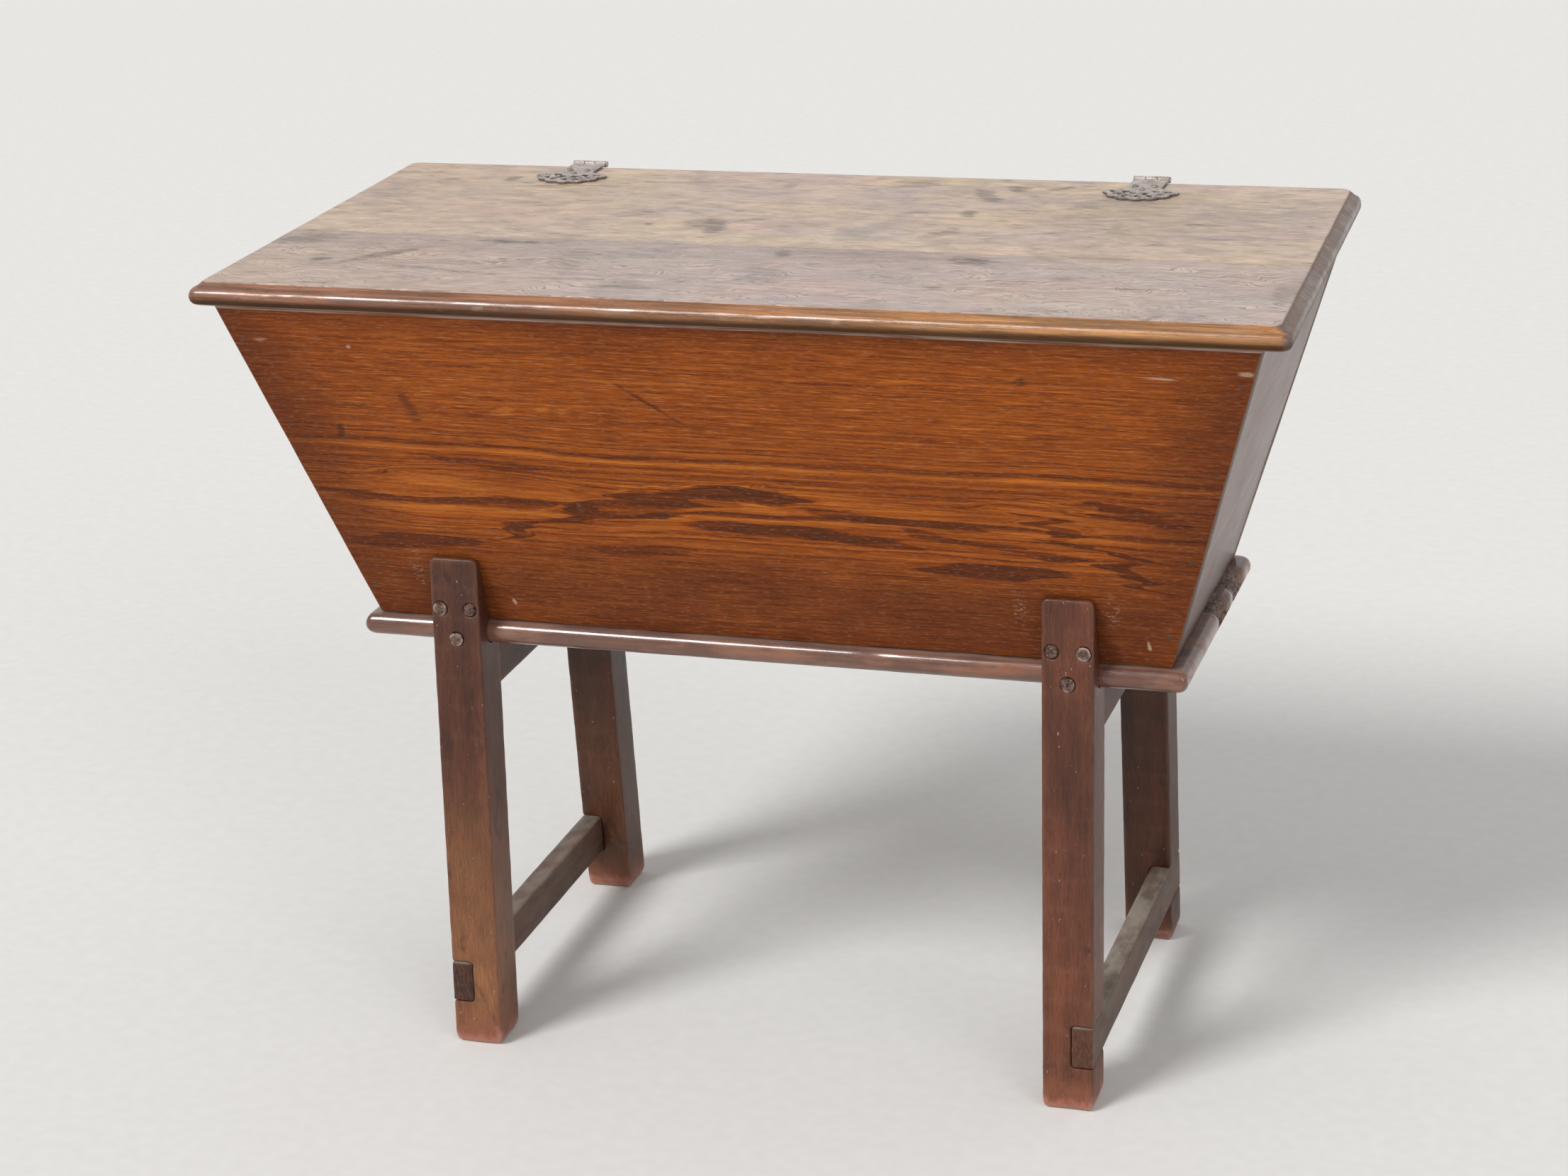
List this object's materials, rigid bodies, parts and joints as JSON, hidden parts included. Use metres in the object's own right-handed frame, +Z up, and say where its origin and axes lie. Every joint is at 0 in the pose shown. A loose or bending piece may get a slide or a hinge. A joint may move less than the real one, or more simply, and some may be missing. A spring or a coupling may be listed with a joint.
{
  "type": "dough bin on stand",
  "caption": "Splayed wooden dough bin with a hinged plank lid, pegged to a stand of notched, splayed legs with low stretchers and bearers.",
  "frame": {"origin": "on the floor, under the middle of the bin", "axes": "+X along the bin to the right as seen from the front, +Y towards the back, where the hinges are, +Z up"},
  "size_m": [1.0599, 0.5325, 0.8155],
  "materials": {
    "side_boards": "old wax polish on red-brown elm, satin",
    "end_boards": "old wax polish on red-brown elm, satin",
    "bottom_board": "dark wax polish, worn on the nose",
    "lid_front_plank": "greyed and scratched, thin wax",
    "lid_back_plank": "bleached tan, thin wax",
    "battens": "unpolished",
    "legs": "dark wax polish, worn at the feet",
    "stretchers": "dark, dry and dusty",
    "bearers": "dark, dry",
    "pegs": "dark end grain",
    "hinges": "wrought, dull brown-grey",
    "pins": "wrought, dull brown-grey",
    "screws": "dull, heads slightly rubbed"
  },
  "bodies": {
    "bin_and_stand": {"back_board": "side_boards", "back_screw_left_1": "screws", "back_screw_left_2": "screws", "back_screw_left_3": "screws", "back_screw_right_1": "screws", "back_screw_right_2": "screws", "back_screw_right_3": "screws", "bearer_left": "bearers", "bearer_right": "bearers", "bottom_board": "bottom_board", "front_board": "side_boards", "hinge_left_back_leaf": "hinges", "hinge_left_pin": "pins", "hinge_right_back_leaf": "hinges", "hinge_right_pin": "pins", "left_end_board": "end_boards", "leg_back_left": "legs", "leg_back_right": "legs", "leg_front_left": "legs", "leg_front_right": "legs", "peg_back_left_1": "pegs", "peg_back_left_2": "pegs", "peg_back_left_3": "pegs", "peg_back_right_1": "pegs", "peg_back_right_2": "pegs", "peg_back_right_3": "pegs", "peg_front_left_1": "pegs", "peg_front_left_2": "pegs", "peg_front_left_3": "pegs", "peg_front_right_1": "pegs", "peg_front_right_2": "pegs", "peg_front_right_3": "pegs", "right_end_board": "end_boards", "stretcher_left": "stretchers", "stretcher_right": "stretchers"},
    "lid": {"batten_screw_left_1": "screws", "batten_screw_left_2": "screws", "batten_screw_left_3": "screws", "batten_screw_left_4": "screws", "batten_screw_right_1": "screws", "batten_screw_right_2": "screws", "batten_screw_right_3": "screws", "batten_screw_right_4": "screws", "hinge_left_lid_leaf": "hinges", "hinge_right_lid_leaf": "hinges", "lid_back_plank": "lid_back_plank", "lid_batten_left": "battens", "lid_batten_right": "battens", "lid_front_plank": "lid_front_plank", "lid_screw_left_1": "screws", "lid_screw_left_2": "screws", "lid_screw_left_3": "screws", "lid_screw_right_1": "screws", "lid_screw_right_2": "screws", "lid_screw_right_3": "screws"}
  },
  "joints": [
    {"name": "lid_hinge", "type": "hinge", "parent": "bin_and_stand", "child": "lid", "pos_m": [0, 0.26506, 0.812], "axis": [-1, 0, 0], "range_deg": [0, 105]}
  ]
}
